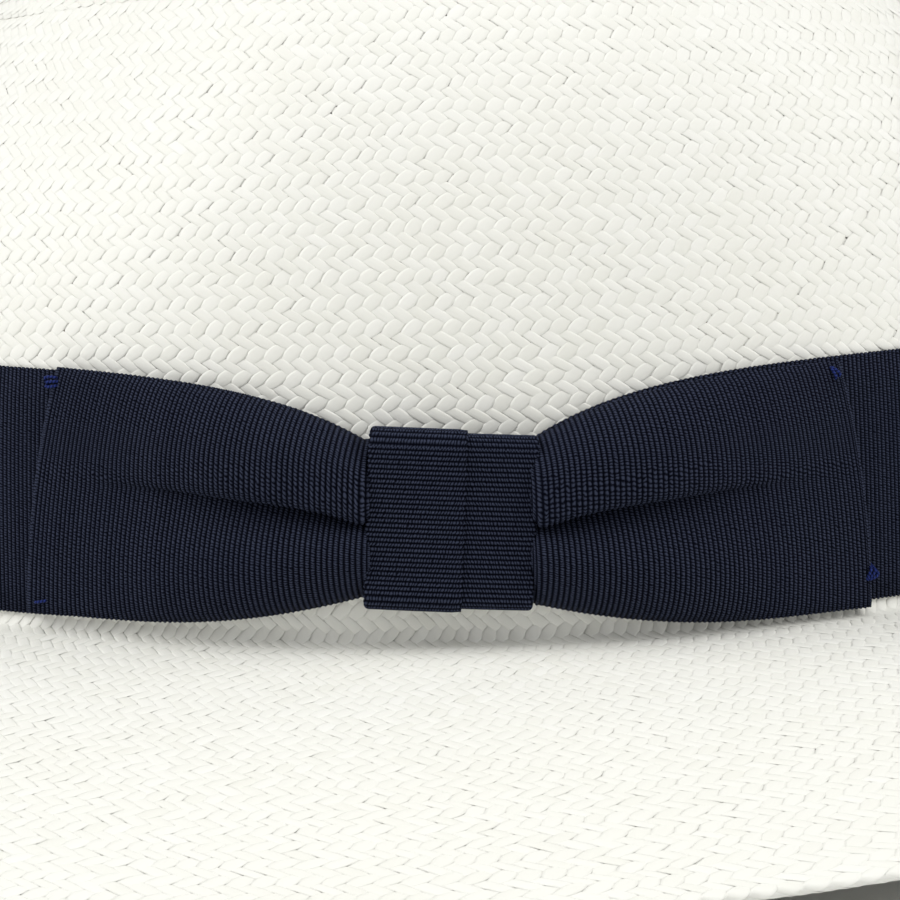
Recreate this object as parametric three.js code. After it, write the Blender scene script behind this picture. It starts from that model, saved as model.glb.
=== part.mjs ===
// A woven straw fedora with a grosgrain hat band, a flat bow and a leather sweatband.
// Millimetres, +Z up. The front of the hat faces -Y and the bow is on the +X side, the wearer's left.
// The origin is the centre of the head opening, at the line where the crown meets the brim.

import * as THREE from 'three';

// Head line: the oval where the crown meets the brim, measured on the middle of the straw.
const headHalfWidth = 85;
const headHalfLength = 102.5;

// Crown: its height before creasing, its inward taper, and the dents that are pressed into it.
const openCrownHeight = 122;
const crownSquareness = 3.5;
const crownTaper = 0.035;
const creaseDepth = 29;
const creaseHalfWidth = 25;
const creaseHalfLength = 64;
const pinchDepth = 15;
const pinchHeight = 88;
const pinchForward = 62;
const pinchReach = 26;
const pinchSoftness = 18;

// Brim: its width, how high it meets the crown, the bend between them, and how far it slopes down
// round the hat.
const brimWidth = 60;
const brimLift = 1.5;
const bendRadius = 2.5;
const bendTop = brimLift + bendRadius;
const brimDropSide = 14;
const brimDropSwing = 13;
const brimDropEase = 5;
const brimRoll = 5;

// Straw: the thickness of the two woven layers.
const strawThickness = 1;
const clearance = 0.3;

// Hat band and bow, all of one ribbon.
const ribbonWidth = 35;
const bandThickness = 0.6;
const bandFoot = 3.5;
const bowHalfLength = 57;
const bowEndThickness = 0.9;
const bowPuff = 2.2;
const pinchedTopDrop = 9.8;
const pinchedFootRise = 5.2;
const pinchedTopReach = 17;
const pinchedFootReach = 16;
const gatherMargin = 2;

// Knot: a ribbon wrapped round the middle of the bow.
const knotHalfWidth = 11.5;
const knotHeight = 22.3;
const knotFoot = 7.3;
const knotThickness = 0.7;
const knotDepth = 5.6;
const knotLiftMargin = 6;
const knotLiftReach = 3;

// Thread tacks at the four corners of the bow.
const tackThread = 0.5;
const tackLength = 2.6;
const tackRise = 0.9;

// Sweatband and the parts that hold it.
const sweatbandHeight = 33;
const sweatbandFoot = 4.2;
const sweatbandThickness = 1.1;
const sweatbandInset = 1.7;
const sweatbandJoint = 0.25;
const tapeFoot = 2.6;
const tapeHeight = 10;
const tapeThickness = 0.5;
const tapeInset = 0.8;
const reedRadius = 0.9;
const reedInset = 2.4;
const reedLevel = 2.6;
const threadRadius = 0.3;
const stitchLevel = 7;
const seamStitches = 7;
const seamBowWidth = 18;
const seamBowHeight = 10;
const seamBowThickness = 1.2;
const seamBowLevel = 13;
const seamBowStandOff = 1;

const degrees = Math.PI / 180;
const quarterTurn = Math.PI / 2;
const backOfHat = quarterTurn;

const colours = {
  straw: { color: 0xf0f0ea, roughness: 0.6, metalness: 0 },
  ribbon: { color: 0x171c2e, roughness: 0.75, metalness: 0 },
  thread: { color: 0x27386f, roughness: 0.6, metalness: 0 },
  leather: { color: 0xd9cbb2, roughness: 0.55, metalness: 0 },
  tape: { color: 0xe6e2d8, roughness: 0.8, metalness: 0 },
  reed: { color: 0xdfe3e6, roughness: 0.4, metalness: 0 },
  sewing: { color: 0xefe9dc, roughness: 0.7, metalness: 0 },
};

// The crown's middle surface. turn goes round the hat from +X towards +Y; fall is 0 at the tip of
// the crown and a quarter turn at the head line.
function crownPoint(turn, fall) {
  const height = openCrownHeight * Math.cos(fall) ** (2 / crownSquareness);
  const scale = Math.sin(fall) * (1 - crownTaper * height / openCrownHeight);
  const x = headHalfWidth * scale * Math.cos(turn);
  const y = headHalfLength * scale * Math.sin(turn);
  const alongCrease = Math.exp(-((y / creaseHalfLength) ** 4));
  const crease = creaseDepth * alongCrease * Math.exp(-((x / creaseHalfWidth) ** 2));
  const toPinch = ((y + pinchForward) / pinchReach) ** 2 + ((height - pinchHeight) / pinchReach) ** 2;
  const pinch = pinchDepth * Math.exp(-toPinch) * Math.tanh(x / pinchSoftness);
  return new THREE.Vector3(x - pinch, y, height - crease);
}

// How steeply the brim slopes down at this turn: most at the front, least at the back.
function brimDrop(turn) {
  const toBack = Math.sin(turn);
  const swing = 0.35 * toBack + 0.65 * toBack ** 3;
  return (brimDropSide - brimDropSwing * swing - brimDropEase * toBack ** 2) * degrees;
}

// The brim's middle surface, from the bend (reach 0) to the edge (reach 1).
function brimPoint(turn, reach) {
  const drop = brimDrop(turn);
  const roll = brimRoll * degrees * (reach - 0.5);
  const run = reach * brimWidth;
  const outward = bendRadius + run * Math.cos(drop + roll);
  const down = run * Math.sin(drop + roll);
  const x = (headHalfWidth + outward) * Math.cos(turn);
  const y = (headHalfLength + outward) * Math.sin(turn);
  return new THREE.Vector3(x, y, brimLift - down);
}

// The bend between crown and brim, from the crown (part 0) to the brim (part 1).
function bendPoint(turn, part) {
  const top = crownWallPoint(turn, bendTop);
  const bottom = brimPoint(turn, 0);
  const corner = new THREE.Vector3(top.x, top.y, bottom.z);
  return new THREE.QuadraticBezierCurve3(top, corner, bottom).getPoint(part);
}

// How far down the crown a height above the head line lies, as crownPoint measures it.
function fallAtHeight(height) {
  return Math.acos((height / openCrownHeight) ** (crownSquareness / 2));
}

// A point on the crown's wall at a given height above the head line.
function crownWallPoint(turn, height) {
  return crownPoint(turn, fallAtHeight(height));
}

// The stations of the straw from the tip of the crown to the brim's edge, as functions of turn.
function strawStations() {
  const stations = [];
  const crownRings = 17;
  const lastFall = fallAtHeight(bendTop);
  for (let ring = 1; ring < crownRings; ring += 1) {
    const fall = lastFall * (ring / crownRings) ** 0.9;
    stations.push((turn) => crownPoint(turn, fall));
  }
  for (const part of [0, 0.5]) {
    stations.push((turn) => bendPoint(turn, part));
  }
  const brimRings = 5;
  for (let ring = 0; ring <= brimRings; ring += 1) {
    stations.push((turn) => brimPoint(turn, ring / brimRings));
  }
  return stations;
}

// A point moved off a surface along its normal. The normal comes from two small steps, one round the
// hat and one down it, and points away from the inside of the crown.
function offsetPoint(surface, turn, down, distance) {
  const step = 1e-3;
  const ahead = surface(turn + step, down);
  const behind = surface(turn - step, down);
  const lower = surface(turn, down + step);
  const upper = surface(turn, down - step);
  const across = ahead.sub(behind);
  const fall = lower.sub(upper);
  const normal = fall.cross(across).normalize();
  return surface(turn, down).addScaledVector(normal, distance);
}

// A closed solid through a list of rings with equal numbers of points. A ring list that does not
// close on itself is capped at both ends.
function loft(rings, closed) {
  const count = rings[0].length;
  const points = rings.flat();
  const faces = [];
  const spans = closed ? rings.length : rings.length - 1;
  for (let i = 0; i < spans; i += 1) {
    const here = i * count;
    const next = ((i + 1) % rings.length) * count;
    for (let j = 0; j < count; j += 1) {
      const k = (j + 1) % count;
      faces.push(here + j, next + k, next + j);
      faces.push(here + j, here + k, next + k);
    }
  }
  if (!closed) {
    addCap(points, faces, rings[0], 0, false);
    addCap(points, faces, rings[rings.length - 1], (rings.length - 1) * count, true);
  }
  const geometry = new THREE.BufferGeometry().setFromPoints(points);
  geometry.setIndex(faces);
  geometry.computeVertexNormals();
  return geometry;
}

// A fan of triangles from the middle of an end ring.
function addCap(points, faces, ring, first, forwards) {
  const middle = new THREE.Vector3();
  ring.forEach((point) => middle.addScaledVector(point, 1 / ring.length));
  const centre = points.push(middle) - 1;
  for (let j = 0; j < ring.length; j += 1) {
    const k = (j + 1) % ring.length;
    const edge = forwards ? [first + j, first + k] : [first + k, first + j];
    faces.push(centre, edge[0], edge[1]);
  }
}

function named(name, geometry, look) {
  const mesh = new THREE.Mesh(geometry, new THREE.MeshStandardMaterial(look));
  mesh.name = name;
  return mesh;
}

// The woven straw: crown and brim in one, as a shell of even thickness that is open below.
function strawBody() {
  const turns = 56;
  const stations = strawStations();
  const surface = (turn, down) => {
    const index = Math.min(Math.max(Math.floor(down), 0), stations.length - 2);
    return stations[index](turn).lerp(stations[index + 1](turn), down - index);
  };
  const columns = [];
  for (let i = 0; i < turns; i += 1) {
    const turn = i * 2 * Math.PI / turns;
    const outside = [];
    const inside = [];
    for (let j = 0; j < stations.length; j += 1) {
      const near = Math.min(Math.max(j, 0.01), stations.length - 1.01);
      outside.push(offsetPoint(surface, turn, near, strawThickness / 2));
      inside.push(offsetPoint(surface, turn, near, -strawThickness / 2));
    }
    columns.push([outside, inside]);
  }
  return named('straw_body', shellOfColumns(columns), colours.straw);
}

// Joins columns of outside and inside points into one closed shell, with a tip point on each side.
function shellOfColumns(columns) {
  const depth = columns[0][0].length;
  const tip = crownPoint(0, 0);
  const points = columns.flatMap(([outside, inside]) => [...outside, ...inside]);
  const upper = points.push(new THREE.Vector3(0, 0, tip.z + strawThickness / 2)) - 1;
  const lower = points.push(new THREE.Vector3(0, 0, tip.z - strawThickness / 2)) - 1;
  const faces = [];
  for (let i = 0; i < columns.length; i += 1) {
    const here = i * 2 * depth;
    const next = ((i + 1) % columns.length) * 2 * depth;
    faces.push(upper, here, next);
    faces.push(lower, next + depth, here + depth);
    for (let j = 0; j < depth - 1; j += 1) {
      faces.push(here + j, here + j + 1, next + j + 1, here + j, next + j + 1, next + j);
      const a = here + depth + j;
      const b = next + depth + j;
      faces.push(a, b + 1, a + 1, a, b, b + 1);
    }
    const a = here + depth - 1;
    const b = next + depth - 1;
    faces.push(a, a + depth, b + depth, a, b + depth, b);
  }
  const geometry = new THREE.BufferGeometry().setFromPoints(points);
  geometry.setIndex(faces);
  geometry.computeVertexNormals();
  return geometry;
}

// A point off the crown's wall: height above the head line, distance outwards from the middle of the
// straw. Distances inwards are negative.
function wallOffset(turn, height, distance) {
  return offsetPoint((t, down) => crownWallPoint(t, height - down), turn, 0, distance);
}

// The turn at which the crown's wall passes a given y on the bow's side.
function turnAtY(y, height) {
  const scale = Math.sin(fallAtHeight(height)) * (1 - crownTaper * height / openCrownHeight);
  return Math.asin(y / (headHalfLength * scale));
}

// How far a strip at distance y from the knot is gathered, 1 under the knot and 0 far away.
function gathered(y, reach) {
  return Math.exp(-Math.max(Math.abs(y) - knotHalfWidth - gatherMargin, 0) / reach);
}

// How far band and bow stand off the straw to let the back of the knot pass behind them.
function knotLift(y) {
  const beyond = Math.max(Math.abs(y) - knotHalfWidth - knotLiftMargin, 0);
  return (knotThickness + clearance) * Math.exp(-beyond / knotLiftReach);
}

function ribbonTop(y) {
  return bandFoot + ribbonWidth - pinchedTopDrop * gathered(y, pinchedTopReach);
}

function ribbonFoot(y) {
  return bandFoot + pinchedFootRise * gathered(y, pinchedFootReach);
}

// The hat band: a ring round the crown that is gathered where the knot grips it.
function hatBand() {
  const turns = 72;
  const levels = 3;
  const rings = [];
  for (let i = 0; i < turns; i += 1) {
    const turn = (i + 0.5) * 2 * Math.PI / turns;
    const y = headHalfLength * Math.sin(turn);
    const onBowSide = Math.cos(turn) > 0;
    const top = onBowSide ? ribbonTop(y) - 0.4 : bandFoot + ribbonWidth;
    const foot = onBowSide ? ribbonFoot(y) + 0.4 : bandFoot;
    const lift = onBowSide ? knotLift(y) : 0;
    const near = strawThickness / 2 + clearance + lift;
    const ring = [];
    for (let level = 0; level < levels; level += 1) {
      ring.push(wallOffset(turn, foot + (top - foot) * level / (levels - 1), near));
    }
    for (let level = levels - 1; level >= 0; level -= 1) {
      ring.push(wallOffset(turn, foot + (top - foot) * level / (levels - 1), near + bandThickness));
    }
    rings.push(ring);
  }
  return named('hat_band', loft(rings, true), colours.ribbon);
}

// The outer distance of the bow's back from the middle of the straw.
function bowSeat(y) {
  const bandFace = strawThickness / 2 + clearance + bandThickness + clearance;
  return bandFace + knotLift(y);
}

// The bow: a folded panel of the same ribbon laid over the band, gathered in the middle, with its
// two loops standing proud between the knot and the tacked ends.
function bowRibbon() {
  const steps = 30;
  const levels = 4;
  const rings = [];
  for (let i = 0; i <= steps; i += 1) {
    const y = bowHalfLength * (2 * i / steps - 1);
    const alongLoop = Math.max(Math.abs(y) - knotHalfWidth, 0) / (bowHalfLength - knotHalfWidth);
    const puff = bowPuff * Math.sin(Math.PI * alongLoop) ** 2;
    const folds = 0.7 * gathered(y, 9);
    const near = bowSeat(y);
    const far = near + bowEndThickness + folds + puff;
    const ring = [];
    for (let level = 0; level < levels; level += 1) {
      const height = ribbonFoot(y) + (ribbonTop(y) - ribbonFoot(y)) * level / (levels - 1);
      ring.push(wallOffset(turnAtY(y, height), height, near));
    }
    for (let level = levels - 1; level >= 0; level -= 1) {
      const height = ribbonFoot(y) + (ribbonTop(y) - ribbonFoot(y)) * level / (levels - 1);
      const edge = level === 0 || level === levels - 1;
      const reach = edge ? near + bowEndThickness : far;
      ring.push(wallOffset(turnAtY(y, height), height, reach));
    }
    rings.push(ring);
  }
  return named('bow_ribbon', loft(rings, false), colours.ribbon);
}

// The knot: a closed loop of ribbon round the gathered middle of the bow and band.
function bowKnot() {
  const back = strawThickness / 2 + clearance;
  const outline = new THREE.Path();
  const round = 1.5;
  outline.moveTo(back + round, 0);
  outline.lineTo(back + knotDepth - round, 0);
  outline.quadraticCurveTo(back + knotDepth, 0, back + knotDepth, round);
  outline.lineTo(back + knotDepth, knotHeight - round);
  outline.quadraticCurveTo(back + knotDepth, knotHeight, back + knotDepth - round, knotHeight);
  outline.lineTo(back + round, knotHeight);
  outline.quadraticCurveTo(back, knotHeight, back, knotHeight - round);
  outline.lineTo(back, round);
  outline.quadraticCurveTo(back, 0, back + round, 0);
  const stations = outline.getPoints(4).slice(0, -1);
  const widthSteps = [-1, -0.33, 0.33, 1];
  const rings = stations.map((station, i) => {
    const before = stations[(i + stations.length - 1) % stations.length];
    const after = stations[(i + 1) % stations.length];
    const inward = new THREE.Vector2(before.y - after.y, after.x - before.x).normalize();
    const inner = station.clone().addScaledVector(inward, knotThickness);
    const outside = widthSteps.map((w) => knotPoint(w * knotHalfWidth, station));
    const inside = widthSteps.map((w) => knotPoint(w * knotHalfWidth, inner));
    return [...outside, ...inside.reverse()];
  });
  return named('bow_knot', loft(rings, true), colours.ribbon);
}

function knotPoint(y, station) {
  const height = knotFoot + station.y;
  return wallOffset(turnAtY(y, height), height, station.x);
}

// One thread tack: a short arch of thread over the edge of the bow's end.
function bowTack(name, y, height, tilt) {
  const seat = bowSeat(y) + bowEndThickness + clearance + tackThread / 2;
  const steps = 6;
  const points = [];
  for (let i = 0; i <= steps; i += 1) {
    const along = (i / steps - 0.5) * tackLength;
    const yHere = y + along * Math.cos(tilt);
    const zHere = height + along * Math.sin(tilt);
    const rise = tackRise * Math.sin(Math.PI * i / steps);
    points.push(wallOffset(turnAtY(yHere, zHere), zHere, seat + rise));
  }
  const path = new THREE.CatmullRomCurve3(points);
  return named(name, tube(path, tackThread / 2, 8), colours.thread);
}

// A round bar along a path.
function tube(path, radius, steps) {
  const section = new THREE.Shape();
  section.absarc(0, 0, radius, 0, 2 * Math.PI, false);
  return new THREE.ExtrudeGeometry(section, { extrudePath: path, steps, curveSegments: 6 });
}

// A strip inside the crown: from one height to another, between two distances inside the straw. An
// open strip leaves a narrow joint at the back of the hat.
function liningStrip(foot, top, inset, thickness, joint) {
  const turns = 64;
  const open = joint > 0;
  const half = joint / headHalfWidth;
  const rings = [];
  for (let i = 0; i < turns + (open ? 1 : 0); i += 1) {
    const span = 2 * (Math.PI - half);
    const turn = backOfHat + (open ? half + span * i / turns : 2 * Math.PI * (i + 0.5) / turns);
    const ring = [];
    for (const level of [foot, (foot + top) / 2, top]) {
      ring.push(wallOffset(turn, level, -inset - thickness));
    }
    for (const level of [top, (foot + top) / 2, foot]) {
      ring.push(wallOffset(turn, level, -inset));
    }
    rings.push(ring);
  }
  return loft(rings, !open);
}

// A round bar inside the crown at one height.
function liningBar(level, inset, radius, sides, joint) {
  const turns = 64;
  const open = joint > 0;
  const half = joint / headHalfWidth;
  const rings = [];
  for (let i = 0; i < turns + (open ? 1 : 0); i += 1) {
    const span = 2 * (Math.PI - half);
    const turn = backOfHat + (open ? half + span * i / turns : 2 * Math.PI * (i + 0.5) / turns);
    const ring = [];
    for (let side = 0; side < sides; side += 1) {
      const angle = -2 * Math.PI * side / sides;
      const height = level + radius * Math.sin(angle);
      ring.push(wallOffset(turn, height, -inset + radius * Math.cos(angle)));
    }
    rings.push(ring);
  }
  return loft(rings, !open);
}

function sweatband() {
  const top = sweatbandFoot + sweatbandHeight;
  const strip = liningStrip(sweatbandFoot, top, sweatbandInset, sweatbandThickness, sweatbandJoint);
  return named('sweatband', strip, colours.leather);
}

function sweatbandTape() {
  const strip = liningStrip(tapeFoot, tapeFoot + tapeHeight, tapeInset, tapeThickness, 0);
  return named('sweatband_tape', strip, colours.tape);
}

function sweatbandReed() {
  const bar = liningBar(reedLevel, reedInset, reedRadius, 6, sweatbandJoint);
  return named('sweatband_reed', bar, colours.reed);
}

function sweatbandStitching() {
  const inset = sweatbandInset + sweatbandThickness + clearance + threadRadius;
  return named('sweatband_stitching', liningBar(stitchLevel, inset, threadRadius, 4, 0.6), colours.sewing);
}

// The zigzag of thread that closes the sweatband's two ends at the back of the hat.
function seamThread() {
  const inset = sweatbandInset + sweatbandThickness + clearance + threadRadius;
  const first = seamBowLevel + seamBowHeight;
  const pitch = (sweatbandFoot + sweatbandHeight - 2 - first) / (2 * seamStitches);
  const points = [];
  for (let i = 0; i <= 2 * seamStitches; i += 1) {
    const side = (i % 2 === 0 ? 1 : -1) * 1.3 / headHalfWidth;
    points.push(wallOffset(backOfHat + side, first + i * pitch, -inset));
  }
  const path = new THREE.CatmullRomCurve3(points);
  return named('sweatband_seam_thread', tube(path, threadRadius, 6 * seamStitches), colours.sewing);
}

// The small flat bow that covers the sweatband's seam.
function seamBow() {
  const halfWidth = seamBowWidth / 2;
  const halfHeight = seamBowHeight / 2;
  const waist = 1.6;
  const outline = new THREE.Shape();
  outline.moveTo(-halfWidth, -halfHeight);
  outline.quadraticCurveTo(-waist, -waist, 0, -waist);
  outline.quadraticCurveTo(waist, -waist, halfWidth, -halfHeight);
  outline.quadraticCurveTo(halfWidth + 1, 0, halfWidth, halfHeight);
  outline.quadraticCurveTo(waist, waist, 0, waist);
  outline.quadraticCurveTo(-waist, waist, -halfWidth, halfHeight);
  outline.quadraticCurveTo(-halfWidth - 1, 0, -halfWidth, -halfHeight);
  const settings = { depth: seamBowThickness, bevelEnabled: false, curveSegments: 5 };
  const mesh = named('sweatband_bow', new THREE.ExtrudeGeometry(outline, settings), colours.leather);
  const inset = sweatbandInset + sweatbandThickness + clearance + seamBowStandOff;
  const seat = wallOffset(backOfHat, seamBowLevel, -inset);
  mesh.position.copy(seat);
  mesh.rotation.set(quarterTurn, 0, 0);
  return mesh;
}

const hat = new THREE.Group();
hat.add(strawBody());
hat.add(hatBand());
hat.add(bowRibbon());
hat.add(bowKnot());
hat.add(bowTack('bow_tack_front_upper', -bowHalfLength + 1.3, 36, 0));
hat.add(bowTack('bow_tack_front_lower', -bowHalfLength + 1.3, 6, 0.2));
hat.add(bowTack('bow_tack_rear_upper', bowHalfLength - 1.3, 36, -1.2));
hat.add(bowTack('bow_tack_rear_lower', bowHalfLength - 1.3, 8, 0.5));
hat.add(sweatband());
hat.add(sweatbandTape());
hat.add(sweatbandReed());
hat.add(sweatbandStitching());
hat.add(seamThread());
hat.add(seamBow());

export default hat;
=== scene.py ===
# A woven straw fedora with a navy grosgrain hat band and a flat bow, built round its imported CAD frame.
# Shapes are worked out in millimetres, +Z up, with the front of the hat at -Y and the bow on the +X side,
# and every mesh is written in metres.

import bpy
import numpy as np
from mathutils import Matrix, Vector


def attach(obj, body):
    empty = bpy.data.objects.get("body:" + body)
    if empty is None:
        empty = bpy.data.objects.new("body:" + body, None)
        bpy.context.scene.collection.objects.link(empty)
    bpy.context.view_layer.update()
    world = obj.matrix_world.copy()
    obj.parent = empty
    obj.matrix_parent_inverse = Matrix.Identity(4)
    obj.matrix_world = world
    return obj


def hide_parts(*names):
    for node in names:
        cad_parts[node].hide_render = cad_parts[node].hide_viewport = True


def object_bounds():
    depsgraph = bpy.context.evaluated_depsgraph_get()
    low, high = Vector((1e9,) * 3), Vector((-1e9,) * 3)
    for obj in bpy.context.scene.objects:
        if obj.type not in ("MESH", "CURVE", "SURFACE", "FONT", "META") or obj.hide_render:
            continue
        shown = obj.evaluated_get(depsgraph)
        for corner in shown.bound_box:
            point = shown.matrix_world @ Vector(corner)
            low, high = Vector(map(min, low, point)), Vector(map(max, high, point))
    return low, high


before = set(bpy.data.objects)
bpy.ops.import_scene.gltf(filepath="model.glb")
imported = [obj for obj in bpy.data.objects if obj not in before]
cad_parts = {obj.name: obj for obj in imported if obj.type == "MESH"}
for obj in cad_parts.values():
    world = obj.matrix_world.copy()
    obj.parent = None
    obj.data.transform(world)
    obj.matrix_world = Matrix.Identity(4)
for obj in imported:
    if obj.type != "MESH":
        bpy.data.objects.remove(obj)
cad_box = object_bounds()

MM = 0.001
TURN = 2 * np.pi

# ---- The hat's driving dimensions, the same as the CAD's ----

HEAD_HALF_WIDTH = 85.0
HEAD_HALF_LENGTH = 102.5
OPEN_CROWN_HEIGHT = 122.0
CROWN_SQUARENESS = 3.5
CROWN_TAPER = 0.035
CREASE_DEPTH = 29.0
CREASE_HALF_WIDTH = 25.0
CREASE_HALF_LENGTH = 64.0
PINCH_DEPTH = 15.0
PINCH_HEIGHT = 88.0
PINCH_FORWARD = 62.0
PINCH_REACH = 26.0
PINCH_SOFTNESS = 18.0
BRIM_WIDTH = 60.0
BRIM_LIFT = 1.5
BEND_RADIUS = 2.5
BEND_TOP = BRIM_LIFT + BEND_RADIUS
BRIM_DROP_SIDE = np.radians(14)
BRIM_DROP_SWING = np.radians(13)
BRIM_DROP_EASE = np.radians(5)
BRIM_ROLL = np.radians(5)
RIBBON_WIDTH = 35.0
BAND_FOOT = 3.5
BOW_HALF_LENGTH = 57.0
KNOT_HALF_WIDTH = 10.4
KNOT_HEIGHT = 22.3
KNOT_FOOT = 7.3
SWEATBAND_HEIGHT = 33.0
SWEATBAND_FOOT = 4.2

BACK_OF_HAT = np.pi / 2


# ---- The straw's middle surface ----

def crown(turn, fall):
    """The crown. turn goes round from +X towards +Y; fall is 0 at the tip and a quarter turn at the head."""
    height = OPEN_CROWN_HEIGHT * np.clip(np.cos(fall), 0, 1) ** (2 / CROWN_SQUARENESS)
    scale = np.sin(fall) * (1 - CROWN_TAPER * height / OPEN_CROWN_HEIGHT)
    x = HEAD_HALF_WIDTH * scale * np.cos(turn)
    y = HEAD_HALF_LENGTH * scale * np.sin(turn)
    crease = np.exp(-(y / CREASE_HALF_LENGTH) ** 4) * np.exp(-(x / CREASE_HALF_WIDTH) ** 2)
    off_pinch = ((y + PINCH_FORWARD) / PINCH_REACH) ** 2 + ((height - PINCH_HEIGHT) / PINCH_REACH) ** 2
    pinch = PINCH_DEPTH * np.exp(-off_pinch) * np.tanh(x / PINCH_SOFTNESS)
    return np.stack([x - pinch, y, height - CREASE_DEPTH * crease], -1)


def fall_at(height):
    return np.arccos((height / OPEN_CROWN_HEIGHT) ** (CROWN_SQUARENESS / 2))


def wall(turn, height):
    return crown(turn, fall_at(height))


def brim(turn, reach):
    """The brim, from the bend (reach 0) to the edge (reach 1)."""
    back = np.sin(turn)
    drop = BRIM_DROP_SIDE - BRIM_DROP_SWING * (0.35 * back + 0.65 * back ** 3) - BRIM_DROP_EASE * back ** 2
    angle = drop + BRIM_ROLL * (reach - 0.5)
    run = reach * BRIM_WIDTH
    outward = BEND_RADIUS + run * np.cos(angle)
    x = (HEAD_HALF_WIDTH + outward) * np.cos(turn)
    y = (HEAD_HALF_LENGTH + outward) * np.sin(turn)
    return np.stack([x, y, BRIM_LIFT - run * np.sin(angle)], -1)


def smooth(value):
    value = np.clip(value, 0, 1)
    return value * value * (3 - 2 * value)


def unit(vectors):
    return vectors / np.maximum(np.linalg.norm(vectors, axis=-1, keepdims=True), 1e-12)


def running(steps):
    """The running total of a row of steps, from 0."""
    return np.concatenate([[0], np.cumsum(steps)])


def reach_along(points):
    """The distance along a line of points to each of them."""
    return running(np.linalg.norm(np.diff(points, axis=0), axis=1))


HEM_RADIUS = 0.55
HEM_DEPTH = 7.0
CROWN_END, BEND_END, BRIM_END, ROLL_END, HEM_END = 1.0, 2.0, 3.0, 4.0, 5.0
BRIM_WEAVE_TOP = 16.0
BRIM_WEAVE_START = float(fall_at(BRIM_WEAVE_TOP) / fall_at(BEND_TOP))


def straw(turn, station):
    """The woven surface as one sheet: from the tip of the crown (station 0) down, round the bend, out along
    the brim and back under its edge."""
    turn, station = np.broadcast_arrays(turn, station)
    on_crown = crown(turn, np.clip(station, 0, CROWN_END) * fall_at(BEND_TOP))
    part = np.clip(station - CROWN_END, 0, 1)[..., None]
    top = wall(turn, BEND_TOP)
    foot = brim(turn, 0)
    corner = np.concatenate([top[..., :2], foot[..., 2:]], -1)
    on_bend = (1 - part) ** 2 * top + 2 * part * (1 - part) * corner + part ** 2 * foot
    on_brim = brim(turn, np.clip(station - BEND_END, 0, 1))
    edge = brim(turn, 1)
    outward = unit(edge - brim(turn, 0.98))
    around = unit(brim(turn + 1e-3, 1) - edge)
    upward = np.cross(outward, around)
    roll = np.pi * np.clip(station - BRIM_END, 0, 1)[..., None]
    under = HEM_DEPTH * np.clip(station - ROLL_END, 0, 1)[..., None]
    circle = np.sin(roll) * outward + (np.cos(roll) - 1) * upward
    on_hem = edge + HEM_RADIUS * circle - under * outward
    where = station[..., None]
    return np.select([where <= CROWN_END, where <= BEND_END, where <= BRIM_END], [on_crown, on_bend, on_brim], on_hem)


def normal_of(surface, first, second, step_first, step_second):
    """The unit normal that points away from the inside of the crown."""
    across = surface(first + step_first, second) - surface(first - step_first, second)
    down = surface(first, second + step_second) - surface(first, second - step_second)
    return unit(np.cross(down, across))


def wall_offset(turn, height, distance):
    """A point off the crown's wall: height above the head line, distance outwards from mid straw."""
    turn, height, distance = np.broadcast_arrays(turn, height, distance)
    normal = normal_of(lambda t, drop: wall(t, height - drop), turn, 0 * turn, 1e-3, 1e-2)
    return wall(turn, height) + normal * distance[..., None]


def turn_at(y, height):
    """The turn at which the wall passes a given y on the bow's side."""
    scale = np.sin(fall_at(height)) * (1 - CROWN_TAPER * height / OPEN_CROWN_HEIGHT)
    return np.arcsin(np.clip(y / (HEAD_HALF_LENGTH * scale), -1, 1))


def on_side(y, height, distance):
    """A point on the bow's side of the crown, by its y, its height and its distance off the straw."""
    return wall_offset(turn_at(y, height), height, distance)


# ---- Mesh making ----

def add_object(name, data):
    thing = bpy.data.objects.new(name, data)
    bpy.context.scene.collection.objects.link(thing)
    return thing


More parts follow.
